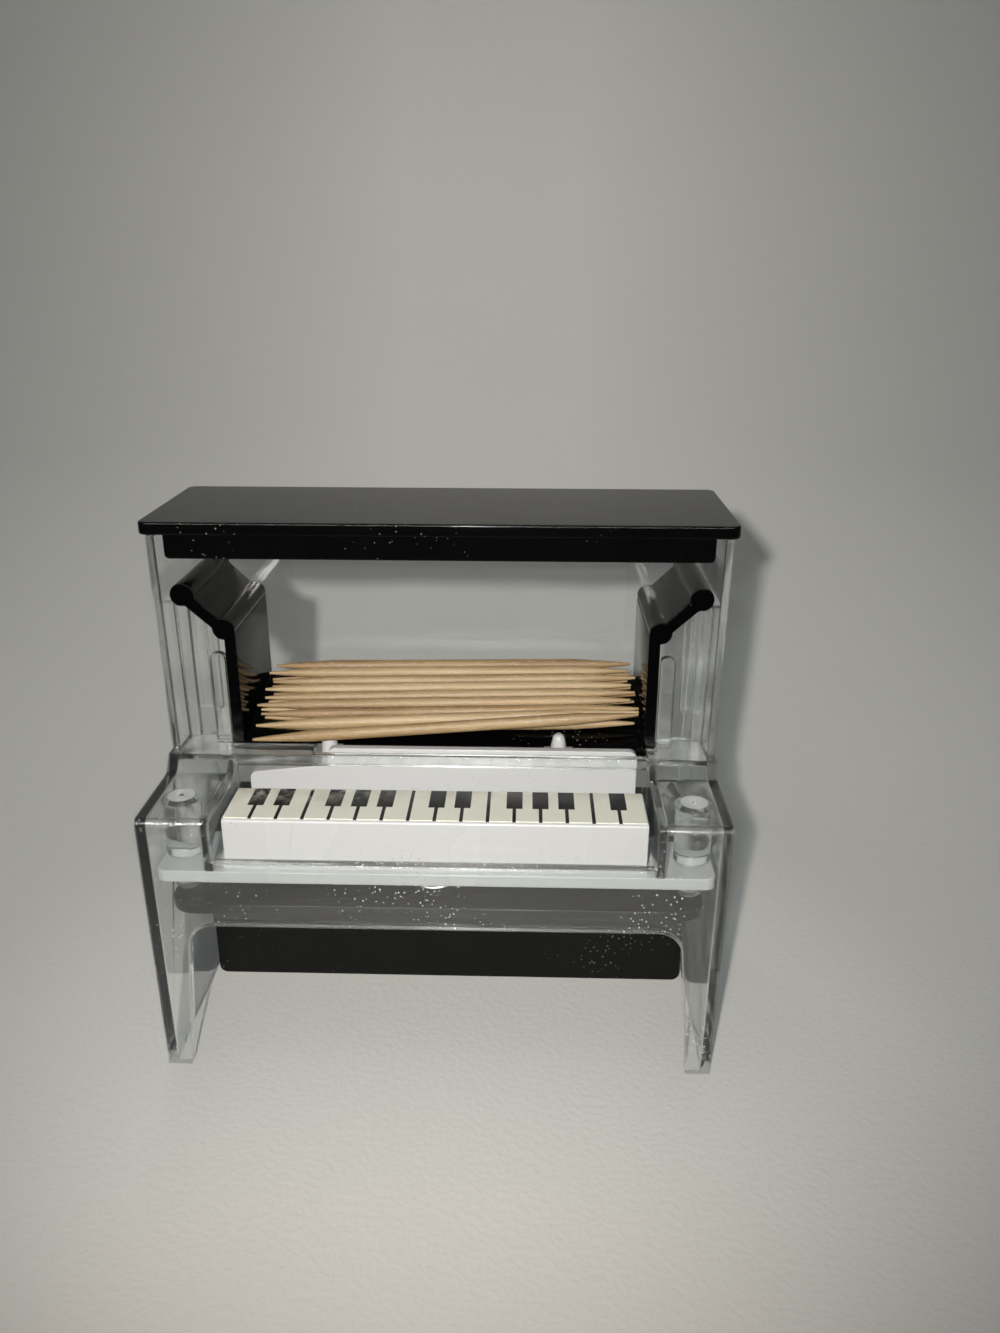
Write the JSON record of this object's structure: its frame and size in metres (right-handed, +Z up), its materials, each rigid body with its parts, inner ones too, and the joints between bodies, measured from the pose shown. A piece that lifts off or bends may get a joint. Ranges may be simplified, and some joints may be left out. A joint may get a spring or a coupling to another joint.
{
  "type": "toothpick dispenser",
  "caption": "Clear upright-piano toothpick dispenser: pressing the white sprung keyboard lifts a pick from the black hopper; the black lid lifts off to refill.",
  "frame": {"origin": "centre of the footprint rectangle on the table, under the middle of the overall box", "axes": "+X along the keyboard to its high-note end, +Y from the keyboard side to the back wall, +Z up"},
  "size_m": [0.0954, 0.0486, 0.0891],
  "materials": {
    "clear_plastic": "clear polished polystyrene, smooth",
    "black_plastic": "gloss moulded",
    "white_plastic": "satin-gloss moulded, slightly bluish",
    "label_paper": "printed film label, cream with black keys",
    "spring_steel": "plain drawn wire",
    "birch_wood": "bare turned wood"
  },
  "bodies": {
    "dispenser": {"case_body": "clear_plastic", "base": "black_plastic", "return_spring": "spring_steel", "hopper": "black_plastic", "toothpick_01": "birch_wood", "toothpick_02": "birch_wood", "toothpick_03": "birch_wood", "toothpick_04": "birch_wood", "toothpick_05": "birch_wood", "toothpick_06": "birch_wood", "toothpick_07": "birch_wood", "toothpick_08": "birch_wood", "toothpick_09": "birch_wood", "toothpick_10": "birch_wood", "toothpick_11": "birch_wood", "toothpick_12": "birch_wood", "toothpick_13": "birch_wood", "toothpick_14": "birch_wood", "toothpick_15": "birch_wood", "toothpick_on_fingers": "birch_wood"},
    "keyboard": {"keyboard": "white_plastic", "key_label": "label_paper"},
    "lid": {"lid": "black_plastic"},
    "served_toothpick": {"toothpick_served": "birch_wood"}
  },
  "joints": [
    {"name": "keyboard_press", "type": "slide", "parent": "dispenser", "child": "keyboard", "axis": [0, 0, -1], "range_m": [0, 0.004], "stiffness_N_per_m": 300, "springref_m": -0.002, "deforming": ["return_spring"]},
    {"name": "lid_lift", "type": "slide", "parent": "dispenser", "child": "lid", "axis": [0, 0, 1], "range_m": [0, 0.03]},
    {"name": "pick_take", "type": "slide", "parent": "dispenser", "child": "served_toothpick", "axis": [0, -0.6, 0.8], "range_m": [0, 0.045]}
  ]
}
